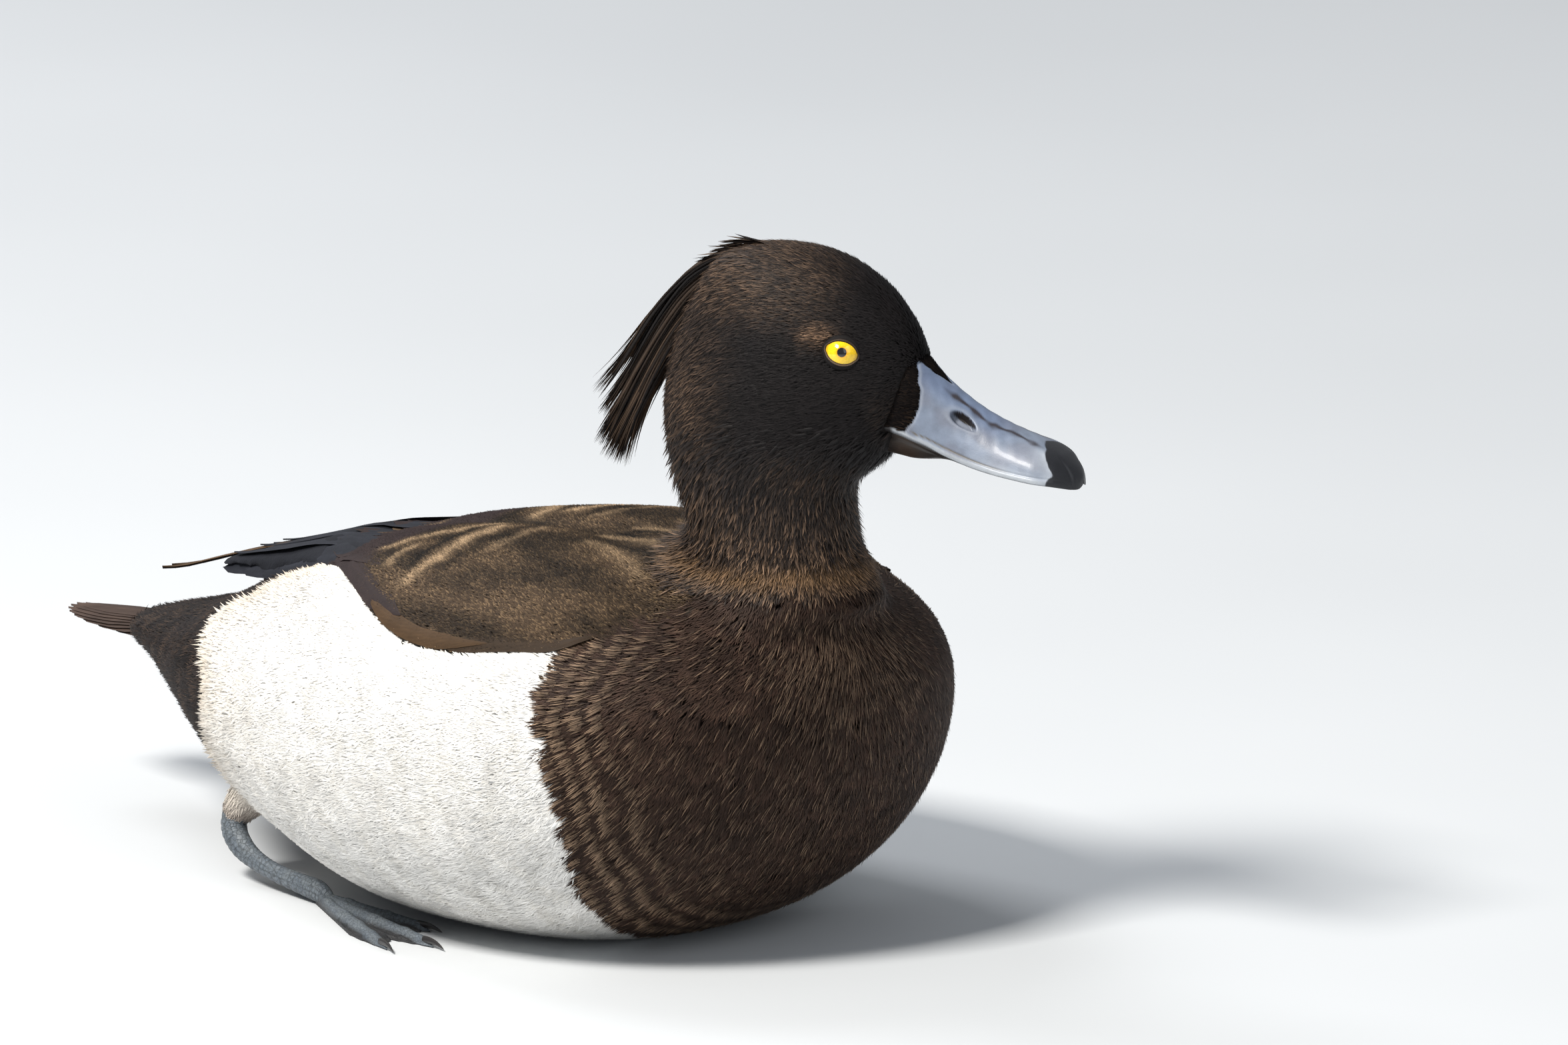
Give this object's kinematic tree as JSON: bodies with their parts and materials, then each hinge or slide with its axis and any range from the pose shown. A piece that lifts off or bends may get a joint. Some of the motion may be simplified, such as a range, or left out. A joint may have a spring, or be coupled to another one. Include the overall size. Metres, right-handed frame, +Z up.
{
  "type": "tufted duck",
  "caption": "Life-size drake tufted duck at rest on its belly, with a hanging crest, broad bill turned to its left, folded wings, short tail and tucked webbed feet.",
  "frame": {"origin": "bottom centre of the bounding box, on the floor that the bird rests on", "axes": "+X towards the breast, +Z up, +Y towards the bird's left side"},
  "size_m": [0.2992, 0.15, 0.1686],
  "materials": {
    "trunk_feathers": "soft overlapping feathers: white flanks and belly, black-brown breast, vent and rump, finely vermiculated dark brown back",
    "neck_feathers": "short black-brown feathers with a browner collar at the base",
    "head_feathers": "fine hair-like black feathers with a faint gloss and a brown sheen on the crown",
    "crest_feathers": "thin, pointed, drooping black-brown plumes",
    "bill_horn": "smooth blue-grey horn with a paler band and a black nail",
    "bill_underside": "dark blue-grey horn, half gloss",
    "eye": "wet, bright yellow iris with a small black pupil",
    "wing_feathers": "dark brown scapulars and coverts with fine tan speckling, black-brown primaries",
    "tail_feathers": "grey-brown tail feathers",
    "leg_skin": "dark blue-grey scaled skin",
    "web_skin": "dark grey toes with blackish webs"
  },
  "bodies": {
    "root": {"trunk": "trunk_feathers", "neck": "neck_feathers", "head": "head_feathers", "crest": "crest_feathers", "bill_upper": "bill_horn", "bill_lower": "bill_underside", "eye_right": "eye", "eye_left": "eye", "wing_right": "wing_feathers", "wing_left": "wing_feathers", "tail": "tail_feathers", "leg_right": "leg_skin", "leg_left": "leg_skin", "foot_right": "web_skin", "foot_left": "web_skin"}
  },
  "joints": []
}
